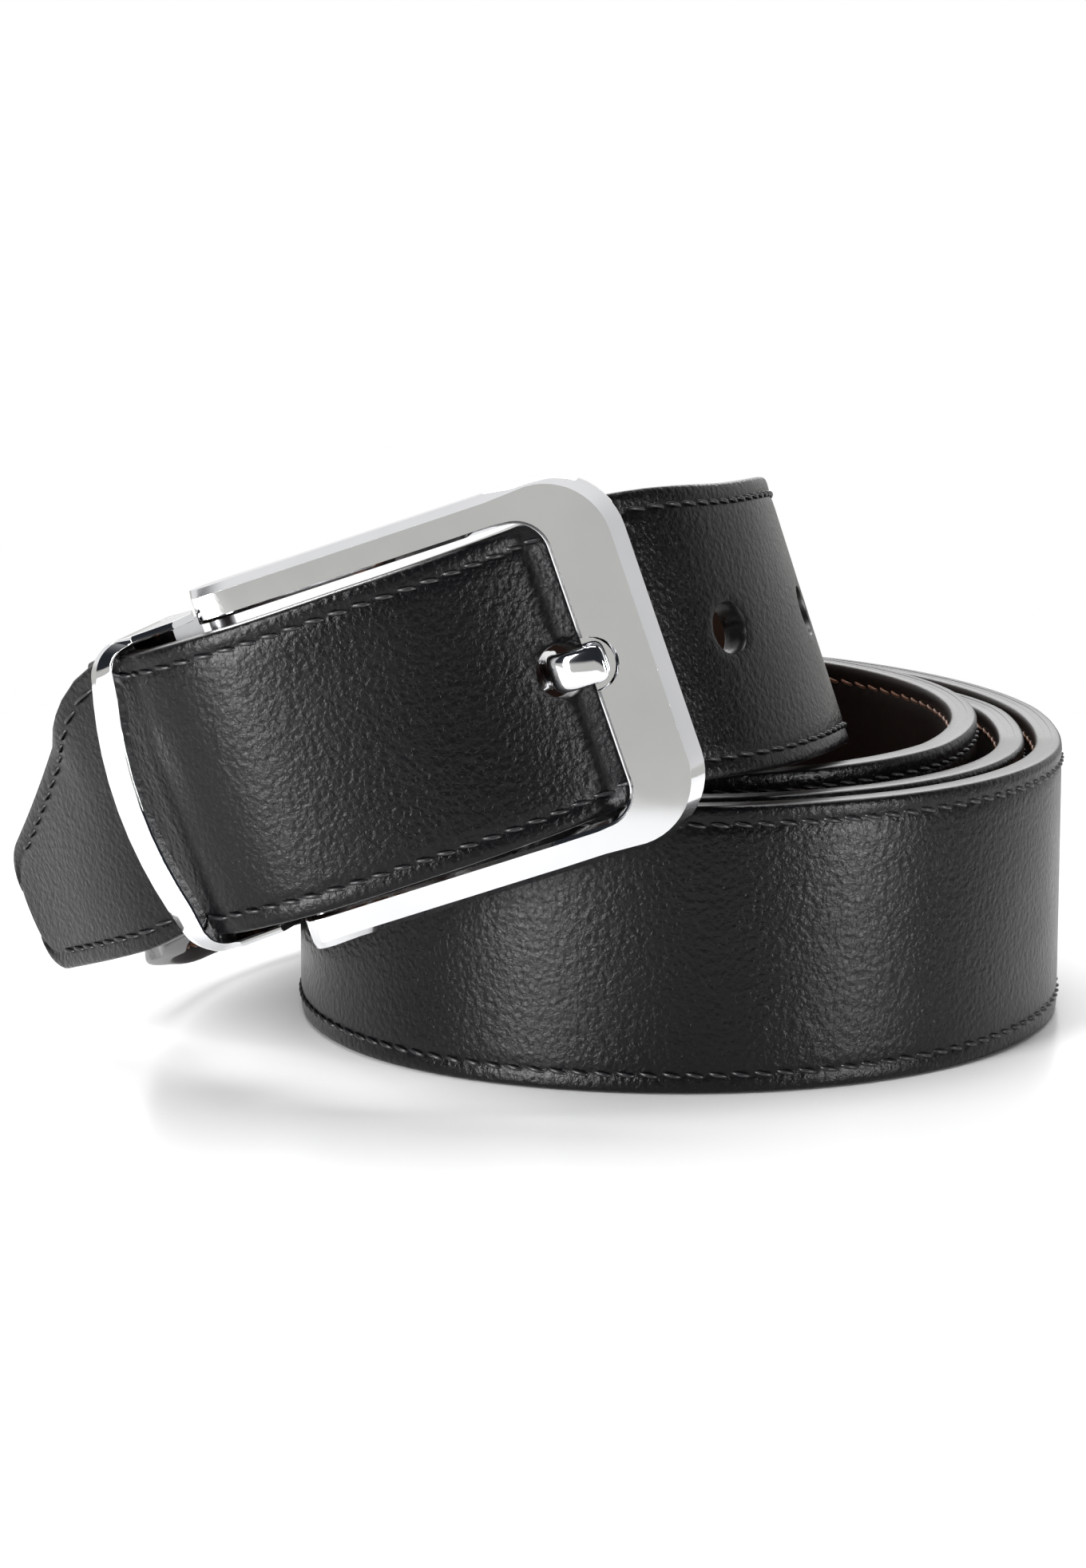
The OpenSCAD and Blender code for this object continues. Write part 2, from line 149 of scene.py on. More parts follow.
# the lining calf is left nearly matt: dark brown, flat and smooth
brownCalf = boxCalf("smoothBrownCalf", {
    "grain": 0.6, "crease": 1.2, "cloud": 14.0, "bump": 0.35, "depth": 0.06,
    "deep": "#150c08", "pale": "#26160f", "roughLow": 0.42, "roughHigh": 0.55, "shine": 0.2,
    "coat": 0.05, "coatRough": 0.35})
blackPaint = edgePaint("blackEdgePaint", "#0c0b0b", "#1d1a19")
brownPaint = edgePaint("darkBrownEdgePaint", "#120d0b", "#241a15")
blackThread = waxedThread("waxedBlackThread", "#060607", "#1b1b1e")
brownThread = waxedThread("waxedBrownThread", "#4a2b1a", "#87573a")
# polished zinc casting, bright plated: a near perfect mirror
mirrorPlate = brightMetal("brightPlatedZinc", {
    "smear": 9.0, "wave": 5.0, "bump": 0.02, "deep": "#dcdde0", "pale": "#eeeeef",
    "roughLow": 0.035, "roughHigh": 0.09})
# pressed steel sheet, bright plated: the same mirror, a little softened by the rolled surface
sheetPlate = brightMetal("brightPlatedSheet", {
    "smear": 6.0, "wave": 4.0, "bump": 0.03, "deep": "#cfd0d3", "pale": "#e6e6e8",
    "roughLow": 0.07, "roughHigh": 0.16})
# steel turned to size and left bare: greyer and duller, with fine turning marks
turnedSteel = brightMetal("turnedSteel", {
    "smear": 1.5, "wave": 1.0, "bump": 0.15, "deep": "#9a9b9f", "pale": "#c4c5c8",
    "roughLow": 0.2, "roughHigh": 0.35})
print("materials made")


# sizes are in millimetres; the route is laid out round the middle of the coil, like the belt's own
strap = {
    "width": 35.0, "faceThick": 1.3, "coreThick": 0.9, "liningThick": 1.3,
    "tipWidth": 16.0, "taper": 38.0, "tipRound": 3.0,
    "holeSize": 6.2, "holePitch": 25.0, "holes": 5,
    "stitchIn": 2.3, "stitchPitch": 2.7, "threadSize": 0.5,
}
coil = {
    "radius": 49.0, "depth": 1.1, "pitchOuter": 4.8, "pitchInner": 6.2,
    "bulge": 2, "bulgeAt": 228, "bulgeWide": 32,  # a little squarer at its left front
    "start": -30, "end": 930, "degreeStep": 2, "stretchSteps": 24,
}
buckle = {
    "slope": 19.0, "yaw": -4.0, "clampTurn": 28.0, "pin": (-48.5, -57.8, 40.6), "studBack": 4.4,
}
half = strap["width"] / 2
strapThick = strap["faceThick"] + strap["coreThick"] + strap["liningThick"]


def turned(degrees):
    return Vector((math.cos(math.radians(degrees)), math.sin(math.radians(degrees))))


slopeCos = math.cos(math.radians(buckle["slope"]))
slopeSin = math.sin(math.radians(buckle["slope"]))
yawWay = turned(buckle["yaw"])
buckleX = Vector((slopeCos * yawWay.x, slopeCos * yawWay.y, slopeSin))
buckleY = Vector((-yawWay.y, yawWay.x, 0))
buckleZ = buckleX.cross(buckleY)
clampWay = turned(buckle["clampTurn"])
clampX = clampWay.x * buckleX - clampWay.y * buckleY
clampY = clampWay.y * buckleX + clampWay.x * buckleY
pinPoint = Vector(buckle["pin"])


# a station squared to the metalwork; turn is how far the strap has turned back from the buckle
def squareStation(p, turn):
    way = turned(turn)
    t = way.y * buckleY - way.x * buckleX
    u = buckleZ - buckleZ.y / t.y * t
    lean = buckle["slope"] if abs(turn) < 15 else math.degrees(math.atan2(-u.x, u.z))
    return [p.x, p.y, math.degrees(math.atan2(t.y, t.x)), p.z, lean]


def buckleStation(x, y, turn):
    return squareStation(pinPoint + x * buckleX + y * buckleY, turn)


def clampStation(x, y, turn):
    return squareStation(pinPoint + x * clampX + y * clampY, buckle["clampTurn"] + turn)


# the value at x in a table of pairs, in a straight line between them
def lookup(x, table):
    if x <= table[0][0]:
        return table[0][1]
    for (a, va), (b, vb) in zip(table, table[1:]):
        if x <= b:
            return va + (vb - va) * (x - a) / (b - a)
    return table[-1][1]


# degrees round the coil, and how far the strap's lower edge is off the floor there
liftTable = [(-30, 4.4), (30, 2.6), (75, 1.2), (95, 0), (330, 0), (390, 1.6), (435, 1.2), (455, 0),
             (600, 0), (680, 4), (740, 4.8), (790, 3.6), (840, 2), (900, 1.6), (930, 2)]


def ringXY(p):
    bulge = coil["bulge"] * math.exp(-((p % 360 - coil["bulgeAt"]) / coil["bulgeWide"]) ** 2)
    r = (coil["radius"] + bulge - coil["pitchOuter"] * min(p - 90, 360) / 360
         - coil["pitchInner"] * max(p - 450, 0) / 360)
    a = math.radians(p)
    return Vector((r * math.sin(a), r * math.cos(a) * coil["depth"]))


def ringStation(p):
    d = ringXY(p + 0.5) - ringXY(p - 0.5)
    c = ringXY(p)
    return [c.x, c.y, math.degrees(math.atan2(d.y, d.x)), half + lookup(p, liftTable), 0.0]


# stations: x, y, heading, height of the strap's middle, lean
routeIn = [
    clampStation(-13, buckle["studBack"], 0),
    clampStation(-19.4, buckle["studBack"], 0),
    [-66.5, -27, 103, half + 11, 8],
    [-63.5, -3, 76, half + 5.4, 3],
    ringStation(coil["start"]),
]
routeOut = [
    ringStation(coil["end"]),
    [-35, -8, 97, 21.5, 4],
    [-8, 24, 0, 37, 14],
    [14.8, -14, -90, 52.2, 18],
    [4.3, -45.5, -128, 54.8, 19],
    buckleStation(43.2, 4.4, -38),
    buckleStation(35.2, -0.35, -29),
    buckleStation(16, -5.7, -4),
    buckleStation(1, -5.3, 9),
    clampStation(-9, -4.6, 14),
    clampStation(-17, -1.95, 16),
    [-69, -43, -236, 28.6, 12],
    [-80, -24.5, -238, 16.2, 10],
]
holeStation = 6  # the station of the hole in use


def gapOf(a, b):
    return math.hypot(b[0] - a[0], b[1] - a[1])


def rateAt(stations, i, c):
    a, m, b = stations[max(i - 1, 0)], stations[i], stations[min(i + 1, len(stations) - 1)]
    return (b[c] - a[c]) / max(gapOf(a, m) + gapOf(m, b), 1)


def blendAt(stations, i, c, t):
    d = gapOf(stations[i], stations[i + 1])
    a, b = stations[i][c], stations[i + 1][c]
    ra, rb = rateAt(stations, i, c) * d, rateAt(stations, i + 1, c) * d
    return (a * (1 + 2 * t) * (1 - t) ** 2 + ra * t * (1 - t) ** 2
            + b * t * t * (3 - 2 * t) + rb * t * t * (t - 1))


def stretch(stations):
    points = []
    steps = coil["stretchSteps"]
    for i in range(len(stations) - 1):
        a, b = stations[i], stations[i + 1]
        turn = abs((b[2] - a[2] + 540) % 360 - 180)
        k = gapOf(a, b) / 3 / math.cos(math.radians(turn / 4)) ** 2
        pa, pb = Vector(a[:2]), Vector(b[:2])
        ha, hb = pa + k * turned(a[2]), pb - k * turned(b[2])
        for j in range(steps):
            t = j / steps
            q = pa * (1 - t) ** 3 + 3 * ha * t * (1 - t) ** 2 + 3 * hb * t * t * (1 - t) + pb * t ** 3
            points.append((q.x, q.y, blendAt(stations, i, 3, t), blendAt(stations, i, 4, t)))
    return points


inPoints = stretch(routeIn)
ringPoints = []
for p in range(coil["start"], coil["end"], coil["degreeStep"]):
    c = ringXY(p)
    ringPoints.append((c.x, c.y, half + lookup(p, liftTable), 0.0))
outPoints = stretch(routeOut)
lastPoint = routeOut[-1]
line = inPoints + ringPoints + outPoints + [(lastPoint[0], lastPoint[1], lastPoint[3], lastPoint[4])]
spots = [Vector(q[:3]) for q in line]
count = len(spots)
travel, across, outward, far = [], [], [], [0.0]
for i in range(count):
    t = (spots[min(i + 1, count - 1)] - spots[max(i - 1, 0)]).normalized()
    lean = math.radians(line[i][3])
    u = Vector((-math.sin(lean), 0, math.cos(lean)))
    w = (u - u.dot(t) * t).normalized()
    travel.append(t)
    across.append(w)
    outward.append(w.cross(t))
    if i:
        far.append(far[-1] + (spots[i] - spots[i - 1]).length)
strapLength = far[-1]
firstHole = far[len(inPoints) + len(ringPoints) + holeStation * coil["stretchSteps"]]


def taperedHalf(left):
    blunt = strap["tipWidth"] / 2
    return min(half, blunt + left * (half - blunt) / strap["taper"])


# the belt stands over the origin: the middle of the strap's own box
edgeX, edgeY = [], []
for i in range(count):
    h = taperedHalf(strapLength - far[i])
    for sw in (-h, h):
        for sn in (-strapThick / 2, strapThick / 2):
            q = spots[i] + sw * across[i] + sn * outward[i]
            edgeX.append(q.x)
            edgeY.append(q.y)
shift = Vector((-(min(edgeX) + max(edgeX)) / 2, -(min(edgeY) + max(edgeY)) / 2, 0))
print("route", round(strapLength, 1), "mm, shift", [round(v, 3) for v in shift])

finger = [0]  # where the last lookup along the route ended


# the place s along the strap, w across it and n out from its middle
def onStrap(s, w, n):
    i = finger[0]
    while i > 0 and far[i] > s:
        i -= 1
    while i < count - 2 and far[i + 1] < s:
        i += 1
    finger[0] = i
    k = (s - far[i]) / (far[i + 1] - far[i])
    acrossNow = across[i].lerp(across[i + 1], k).normalized()
    outNow = outward[i].lerp(outward[i + 1], k).normalized()
    return (spots[i].lerp(spots[i + 1], k) + w * acrossNow + n * outNow + shift) * mm


def halfWidth(s):
    left = max(strapLength - s, 0)
    h = taperedHalf(left)
    r = strap["tipRound"]
    if left < r:
        h -= r - math.sqrt(max(r * r - (r - left) ** 2, 0))
    return h


# the strap is cut flat, with its real holes, and then laid along the route
pattern = {
    "step": 2.3, "patch": 6.0, "patchCells": 6,
    "edgeLines": [0.0, 0.12, 0.4, 0.9, 1.6, 2.05, 2.3, 2.55, 3.1, 4.2],
    "midLines": [10.0, 6.0, 4.0, 2.0],
    # distance in from the edge, and how far the surface drops there: rounded edge, then the stitched groove
    "edgeDrop": [(0, 0.5), (0.12, 0.24), (0.4, 0.06), (0.9, 0.0),
                 (1.6, 0.03), (2.3, 0.2), (3.1, 0.03), (4.2, 0)],
    # distance out from the hole's wall, and how far the surface drops there
    "holeRings": [(0, 0.4), (0.14, 0.14), (0.5, 0.05), (1.4, 0.0)],
    "tipLines": [0.0, 0.1, 0.4, 0.9, 1.6, 2.4, 3.2],
}


def lengthLines():
    p = pattern["patch"]
    marks = [0.0]
    for k in reversed(range(strap["holes"])):
        h = firstHole - k * strap["holePitch"]
        for a in range(pattern["patchCells"] + 1):
            marks.append(h - p + 2 * p * a / pattern["patchCells"])
    marks += [strapLength - d for d in reversed(pattern["tipLines"])]
    lines = [marks[0]]
    for a, b in zip(marks, marks[1:]):
        cells = max(1, round((b - a) / pattern["step"]))
        lines += [a + (b - a) * (c + 1) / cells for c in range(cells)]
    return lines


# points are (length, width, drop): the drop rounds the edges, the stitched groove and the holes' rims
def flatPattern():
    mids = [-m for m in pattern["midLines"]] + [0.0] + list(reversed(pattern["midLines"]))
    columns = [("edge", -1, d) for d in pattern["edgeLines"]]
    columns += [("mid", 0, m) for m in mids]
    columns += [("edge", 1, d) for d in reversed(pattern["edgeLines"])]
    rows = lengthLines()
    inner = half - pattern["edgeLines"][-1]
    points, faces = [], []
    index = {}
    for i, s in enumerate(rows):
        h = halfWidth(s)
        for j, (kind, side, value) in enumerate(columns):
            if kind == "edge":
                w = side * max(h - value, 0.2 * h * (1 - value / 5))
                drop = lookup(value, pattern["edgeDrop"])
            else:
                w = value * max(h - pattern["edgeLines"][-1], 0.16 * h) / inner
                drop = 0.0
            index[i, j] = len(points)
            points.append((s, w, drop))
    holesAt = [firstHole - k * strap["holePitch"] for k in range(strap["holes"])]
    p = pattern["patch"]
    midOf = {v: j for j, (kind, side, v) in enumerate(columns) if kind == "mid"}
    lowJ, highJ = midOf[-p], midOf[p]

    def inPatch(i, j):
        s = (rows[i] + rows[i + 1]) / 2
        return lowJ <= j < highJ and any(abs(s - h) < p for h in holesAt)

    for i in range(len(rows) - 1):
        for j in range(len(columns) - 1):
            if not inPatch(i, j):
                faces.append((index[i, j], index[i, j + 1], index[i + 1, j + 1], index[i + 1, j]))
    for h in holesAt:
        i0 = min(range(len(rows)), key=lambda i: abs(rows[i] - (h - p)))
        n = pattern["patchCells"]
        loop = [(i0 + n, lowJ + n // 2 + k) for k in range(n // 2 + 1)]
        loop += [(i0 + n - k, highJ) for k in range(1, n + 1)]
        loop += [(i0, highJ - k) for k in range(1, n + 1)]
        loop += [(i0 + k, lowJ) for k in range(1, n + 1)]
        loop += [(i0 + n, lowJ + k) for k in range(1, n // 2)]
        outer = [index[q] for q in loop]
        size = len(outer)
        for margin, drop in reversed(pattern["holeRings"]):
            radius = strap["holeSize"] / 2 + margin
            ring = []
            for k in range(size):
                a = 2 * math.pi * k / size
                ring.append(len(points))
                points.append((h + radius * math.cos(a), radius * math.sin(a), drop))
            for k in range(size):
                m = (k + 1) % size
                faces.append((outer[k], outer[m], ring[m], ring[k]))
            outer = ring
    return points, faces


def objectFrom(name, verts, faces, mats, faceMats=None, sharp=35):
    mesh = bpy.data.meshes.new(name)
    mesh.from_pydata([tuple(v) for v in verts], [], faces)
    for mat in mats:
        mesh.materials.append(mat)
    if faceMats:
        mesh.polygons.foreach_set("material_index", faceMats)
    bm = bmesh.new()
    bm.from_mesh(mesh)
    bmesh.ops.recalc_face_normals(bm, faces=bm.faces)
    bm.to_mesh(mesh)
    bm.free()
    mesh.shade_smooth()
    mesh.set_sharp_from_angle(angle=math.radians(sharp))
    obj = bpy.data.objects.new(name, mesh)
    bpy.context.scene.collection.objects.link(obj)
    return obj


flatPoints, flatFaces = flatPattern()
edgeUse = {}
for face in flatFaces:
    for a, b in zip(face, face[1:] + face[:1]):
        key = (min(a, b), max(a, b))
        edgeUse[key] = None if key in edgeUse else (a, b)
rimEdges = [e for e in edgeUse.values() if e]


# outerN and innerN are the layer's broad faces, out from the strap's middle
def strapLayer(name, node, outerN, innerN, edgeIn, dropScale, mats):
    way = 1 if outerN > innerN else -1
    verts = []
    for s, w, drop in flatPoints:
        keep = (half - edgeIn) / half
        verts.append(onStrap(s, w * keep, outerN - way * drop * dropScale))
    for s, w, drop in flatPoints:
        keep = (half - edgeIn) / half
        verts.append(onStrap(s, w * keep, innerN))
    n = len(flatPoints)
    faces = list(flatFaces) + [tuple(n + v for v in reversed(f)) for f in flatFaces]
    kinds = [0] * (2 * len(flatFaces))
    for k, f in enumerate(flatFaces):
        if any(flatPoints[v][2] > 0.3 for v in f):
            kinds[k] = 1
    for a, b in rimEdges:
        faces.append((b, a, n + a, n + b))
        kinds.append(1)
    obj = objectFrom(name, verts, faces, mats, kinds)
    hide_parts(node)
    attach(obj, "belt")
    return obj


faceLeather = strapLayer("face_leather_skin", "face_leather", strapThick / 2,
                         strapThick / 2 - strap["faceThick"], 0.0, 1.0, [blackCalf, blackPaint])
strapCore = strapLayer("strap_core_edge", "strap_core", strap["coreThick"] / 2, -strap["coreThick"] / 2,
                       0.04, 0.0, [blackPaint, blackPaint])
liningLeather = strapLayer("lining_leather_skin", "lining_leather", -strapThick / 2,
                           strap["liningThick"] - strapThick / 2, 0.05, 1.0, [brownCalf, brownPaint])
print("strap layers laid")


# each stitch is a short slanting arch of thread that dives into the leather at both ends
stitch = {
    "from": 30.0, "tipGap": 3.2, "slant": 0.24, "rise": 0.2, "sink": 0.32, "fill": 0.9,
    "sides": 6, "rings": 7,
}


def stitchRows(name, node, way, mat, body):
    verts, faces = [], []
    r = strap["threadSize"] / 2
    total = int((strapLength - stitch["tipGap"] - stitch["from"]) / strap["stitchPitch"])
    for side in (-1, 1):
        for k in range(total):
            s0 = stitch["from"] + k * strap["stitchPitch"]
            base = len(verts)
            for q in range(stitch["rings"]):
                t = q / (stitch["rings"] - 1)
                s = s0 + t * strap["stitchPitch"] * stitch["fill"]
                slant = (t - 0.5) * 2 * stitch["slant"] * way
                w = side * (halfWidth(s) - strap["stitchIn"]) + slant
                arch = math.sin(math.pi * t) ** 0.6
                climb = arch * (stitch["rise"] + stitch["sink"] - r * 0.5)
                n = way * (strapThick / 2 - stitch["sink"] + climb)
                thick = r * (0.62 + 0.38 * arch)
                for m in range(stitch["sides"]):
                    a = 2 * math.pi * m / stitch["sides"]
                    verts.append(onStrap(s, w + thick * math.cos(a) * 1.1, n + thick * math.sin(a)))
            sides, rings = stitch["sides"], stitch["rings"]
            for q in range(rings - 1):
                for m in range(sides):
                    a, b = base + q * sides + m, base + q * sides + (m + 1) % sides
                    faces.append((a, b, b + sides, a + sides))
            faces.append(tuple(base + m for m in range(sides)))
            faces.append(tuple(base + (rings - 1) * sides + m for m in reversed(range(sides))))
    obj = objectFrom(name, verts, faces, [mat], sharp=70)
    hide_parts(node)
    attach(obj, body)
    return obj


faceStitches = stitchRows("face_stitches", "face_stitching", 1, blackThread, "belt")
liningStitches = stitchRows("lining_stitches", "lining_stitching", -1, brownThread, "belt")
print("stitches sewn")


# x along the buckle towards its front bar, y back from it, z across the strap
atBuckle = (Matrix.Translation(pinPoint + shift) @ Matrix.Rotation(math.radians(buckle["yaw"]), 4, "Z")
            @ Matrix.Rotation(math.radians(-buckle["slope"]), 4, "Y"))
atClamp = atBuckle @ Matrix.Rotation(math.radians(-buckle["clampTurn"]), 4, "Z")


# joins equal outlines one after another into a closed skin
def sweep(name, sections, place, mats, bevel=0.0, close=False, sharp=30):
    verts, faces = [], []
    size = len(sections[0])
    for section in sections:
        verts += [(place @ Vector(p)) * mm for p in section]
    rings = len(sections)
    for q in range(rings if close else rings - 1):
        for m in range(size):
            a, b = q * size + m, q * size + (m + 1) % size
            c, d = (q + 1) % rings * size + m, (q + 1) % rings * size + (m + 1) % size
            faces.append((a, b, d, c))
    if not close:
        faces.append(tuple(range(size)))
        faces.append(tuple((rings - 1) * size + m for m in reversed(range(size))))
    obj = objectFrom(name, verts, faces, mats, sharp=sharp)
    if bevel:
        addBevel(obj, bevel)
    return obj


def addBevel(obj, width, angle=24, segments=3):
    mod = obj.modifiers.new("softened edges", "BEVEL")
    mod.width = width * mm
    mod.segments = segments
    mod.limit_method = "ANGLE"
    mod.angle_limit = math.radians(angle)
    mod.harden_normals = True
    mod.miter_outer = "MITER_ARC"


hoop = {
    "reach": 39.2, "barWidth": 9.0, "armEdge": 22.36, "armInner": 18.3, "outerRound": 8.6, "innerRound": 4.0,
    "front": -4.6, "back": -1.4, "eye": 2.6, "barBevel": 1.6, "armBevel": 0.9,
    "bevelDepth": 2.5, "eyeBevel": 0.9, "eyeBevelGrow": 0.3,
    "innerBevel": 0.45, "notch": 3.2, "notchDepth": 1.0, "soften": 0.16, "cornerTurns": 12, "notchTurns": 6,
    # where the sections stand, along the arms and then down the front bar to the notch
    "armStations": (-2.55, -2.4, -2.0, -1.2, 0, 3, 7, 10, 14, 20, 26, 29.2, 32, 34),
    "barStations": (11, 8, 5.5, 4.2, 3.6),
}


def hoopSection(outer, inner, bevelWidth, notchX):
    # outer and inner are (x, z); x also sets how far forward the face is
    def front(x):
        if x < 0:
            return -math.sqrt(max(hoop["eye"] ** 2 - x * x, 0.01))
        return lookup(x, [(0, -hoop["eye"]), (hoop["reach"] - 10, hoop["front"])])

    def back(x):
        if x < 0:
            return math.sqrt(max(hoop["eye"] ** 2 - x * x, 0.01))
        return lookup(x, [(0, hoop["eye"]), (10, 1.0), (hoop["reach"], hoop["back"])])

    span = Vector((outer[0] - inner[0], outer[1] - inner[1]))
    width = span.length
    way = span / width

    def place(d, y):
        return (inner[0] + way.x * d, y, inner[1] + way.y * d)

    f, b = front(min(outer[0], inner[0])), back(min(outer[0], inner[0]))
    f = front(inner[0]) if inner[0] < 0 else f
    thick = b - f
    atEye = hoop["eyeBevel"] + hoop["eyeBevelGrow"] * max(outer[0], 0)
    depth = min(hoop["bevelDepth"], 0.78 * thick, 2 * bevelWidth, atEye)
    small = min(hoop["innerBevel"], 0.15 * thick)
    floorY = f + (hoop["notchDepth"] if notchX > 0 else small)
    hair = 0.001  # keeps neighbouring points of the section apart
    return [
        place(0, b), place(0, floorY + hair), place(notchX + hair, floorY),
        place(notchX + 2 * hair, f + small * 0.999), place(notchX + small, f),
        place(width - bevelWidth, f), place(width, f + depth), place(width, b),
    ]


def hoopSections():
    x0, cut = hoop["reach"], hoop["outerRound"]
    edge = x0 + hoop["barWidth"]
    rows = []
    for x in hoop["armStations"]:
        rows.append(((x, hoop["armEdge"]), (x, hoop["armInner"]), hoop["armBevel"], 0))
    turns = hoop["cornerTurns"]
    for k in range(turns + 1):
        a = math.radians(90 * k / turns)
        outer = (edge - cut + cut * math.sin(a), hoop["armEdge"] - cut + cut * math.cos(a))
        r = hoop["innerRound"]
        inner = (x0 - r + r * math.sin(a), hoop["armInner"] - r + r * math.cos(a))
        grow = hoop["armBevel"] + (hoop["barBevel"] - hoop["armBevel"]) * math.sin(a)
        rows.append((outer, inner, grow, 0))
    for z in hoop["barStations"]:
        rows.append(((edge, z), (x0, z), hoop["barBevel"], 0))
    for k in range(hoop["notchTurns"] + 1):
        a = math.radians(90 * k / hoop["notchTurns"])
        z = hoop["notch"] * math.cos(a)
        rows.append(((edge, z), (x0, z), hoop["barBevel"], max(hoop["notch"] * math.sin(a), 0.02)))
    upper = [hoopSection(*row) for row in rows]
    lower = [hoopSection((o[0], -o[1]), (i[0], -i[1]), b, nx) for o, i, b, nx in reversed(rows[:-1])]
    return upper + lower


buckleHoop = sweep("buckle_hoop", hoopSections(), atBuckle, [mirrorPlate], hoop["soften"])
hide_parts("buckle_frame")
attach(buckleHoop, "frame")


tongue = {
    "width": 4.6, "thick": 2.2, "around": 20, "sideSquare": 0.6, "frontSquare": 0.75, "backSquare": 0.5,
    # middle line in (x, y) and share of the full width: behind the strap, out through the hole, to the tip
    "spine": [(1.8, 1.25, 1), (8, 1.7, 1), (16, 2.3, 1), (24, 2.85, 1), (30, 3.3, 1), (32.6, 3.35, 1),
              (33.8, 2.9, 1), (34.5, 1.9, 1), (34.9, 0.4, 1), (35.15, -1.2, 1), (35.4, -2.7, 1),
              (35.85, -3.9, 1), (36.6, -4.6, 1), (37.6, -4.85, 1), (39.2, -4.85, 1), (40.2, -4.85, 1),
              (40.7, -4.85, 0.95), (41.05, -4.85, 0.84), (41.28, -4.85, 0.66), (41.4, -4.85, 0.36)],
}


def tongueSections():
    spine = tongue["spine"]
    sections = []
    for i, (x, y, share) in enumerate(spine):
        a, b = spine[max(i - 1, 0)], spine[min(i + 1, len(spine) - 1)]
        t = Vector((b[0] - a[0], b[1] - a[1])).normalized()
        side = Vector((t.y, -t.x))  # towards the front of the buckle
        wide, thick = tongue["width"] / 2 * share, tongue["thick"] / 2 * share
        loop = []
        for k in range(tongue["around"]):
            q = 2 * math.pi * k / tongue["around"]
            c, d = math.cos(q), math.sin(q)
            square = tongue["frontSquare"] if d > 0 else tongue["backSquare"]
            z = wide * math.copysign(abs(c) ** tongue["sideSquare"], c)
            depth = thick * math.copysign(abs(d) ** square, d)
            loop.append((x + side.x * depth, y + side.y * depth, z))
        sections.append(loop)
    return sections


prongTongue = sweep("prong_tongue", tongueSections(), atBuckle, [mirrorPlate], sharp=60)
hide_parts("prong")
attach(prongTongue, "prong")


eye = {"radius": 2.6, "bore": 1.54, "ease": 0.25, "around": 40}


def eyeSections():
    r, bore, ease, h = eye["radius"], eye["bore"], eye["ease"], tongue["width"] / 2
    loop = [(bore, -h), (r - ease, -h), (r, -h + ease), (r, h - ease), (r - ease, h), (bore, h)]
    turns = [2 * math.pi * k / eye["around"] for k in range(eye["around"])]
    return [[(q * math.cos(a), q * math.sin(a), z) for q, z in loop] for a in turns]


prongEye = sweep("prong_eye", eyeSections(), atBuckle, [mirrorPlate], close=True)
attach(prongEye, "prong")
print("buckle frame and prong made")


keeper = {
    "outerX": -16.9, "barWidth": 4.6, "edge": 19.47, "inner": 18.57, "outerRound": 4.6, "innerRound": 2.2,
    "front": -7.2, "back": -5.6, "bow": 2.9, "barBevel": 2.0, "railBevel": 0.35, "bevelDepth": 1.2,
    "soften": 0.12, "cornerTurns": 10,
    # where the sections stand, along the rails and then down the front bar to its middle
    "railStations": (-6, -7.2, -8.8, -9.8), "barStations": (13, 10, 7, 3.5, 0),
}


def keeperSections():
    def front(x):
        return lookup(x, [(keeper["outerX"] + keeper["barWidth"], keeper["front"]), (-6, -1.6)])

    def back(x):
        return lookup(x, [(-12.3, keeper["back"]), (-12.1, -1.0), (-11.7, 6.2), (-8.8, 6.25), (-6, 2.45)])

    rows = []
    for x in keeper["railStations"]:
        rows.append(((x, keeper["edge"]), (x, keeper["inner"]), keeper["railBevel"]))
    turns = keeper["cornerTurns"]
    ro, ri = keeper["outerRound"], keeper["innerRound"]
    innerX = keeper["outerX"] + keeper["barWidth"]
    for k in range(turns + 1):
        a = math.radians(90 * k / turns)
        outer = (keeper["outerX"] + ro - ro * math.sin(a), keeper["edge"] - ro + ro * math.cos(a))
        inner = (innerX + ri - ri * math.sin(a), keeper["inner"] - ri + ri * math.cos(a))
        grow = keeper["railBevel"] + (keeper["barBevel"] - keeper["railBevel"]) * math.sin(a)
        rows.append((outer, inner, grow))
    for z in keeper["barStations"]:
        rows.append(((keeper["outerX"], z), (innerX, z), keeper["barBevel"]))

    def section(outer, inner, bevelWidth):
        lean = keeper["bow"] * (1 - min(abs(outer[1]) / 15.4, 1) ** 2)
        span = Vector((outer[0] - inner[0], outer[1] - inner[1]))
        width = span.length
        way = span / width

        def place(d, y):
            return (inner[0] + way.x * d - lean, y, inner[1] + way.y * d)

        f, b = front(inner[0]), back(inner[0])
        depth = min(keeper["bevelDepth"], bevelWidth)
        return [place(0, b), place(0, f + 0.2), place(0.2, f), place(width - bevelWidth, f),
                place(width, f + depth), place(width, b)]

    upper = [section(*row) for row in rows]
    lower = [section((o[0], -o[1]), (i[0], -i[1]), b) for o, i, b in reversed(rows[:-1])]
    return upper + lower


keeperHoop = sweep("keeper_hoop", keeperSections(), atClamp, [mirrorPlate], keeper["soften"])
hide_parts("keeper_loop")
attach(keeperHoop, "belt")

